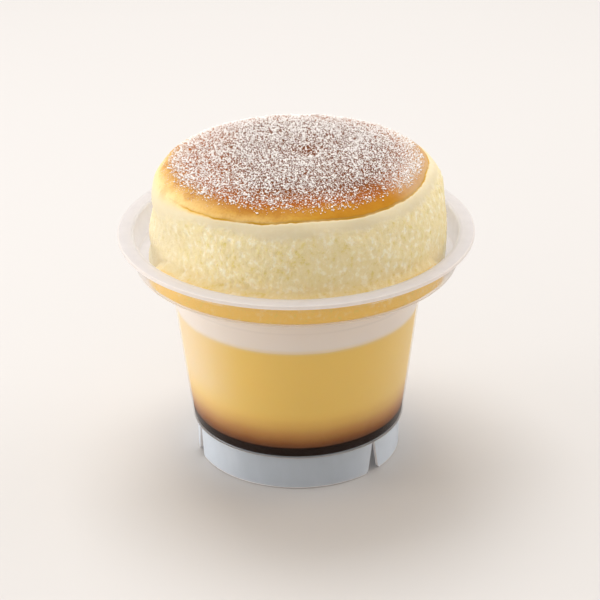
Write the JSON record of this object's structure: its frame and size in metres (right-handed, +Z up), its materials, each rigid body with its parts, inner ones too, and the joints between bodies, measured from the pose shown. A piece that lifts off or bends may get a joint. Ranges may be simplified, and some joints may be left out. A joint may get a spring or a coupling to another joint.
{
  "type": "souffle pudding",
  "caption": "Souffle pudding in a translucent footed cup: caramel, custard and cream layers under a tall sponge cap with a browned, sugar-dusted crust.",
  "frame": {"origin": "Centre of the underside of the cup's foot ring, on the cup's axis.", "axes": "+Z runs up the cup's axis. -Y is the side that the picture shows, with +X to its right."},
  "size_m": [0.092, 0.092, 0.0826],
  "materials": {
    "cup_plastic": "translucent, lightly frosted",
    "caramel": "glossy, stands in for caramel sauce",
    "custard": "smooth and moist, stands in for custard",
    "cream": "smooth, stands in for set cream",
    "souffle": "porous crumb with a browned crust, stands in for souffle sponge"
  },
  "bodies": {
    "root": {"cup": "cup_plastic", "caramel": "caramel", "custard": "custard", "cream": "cream", "souffle": "souffle"}
  },
  "joints": []
}
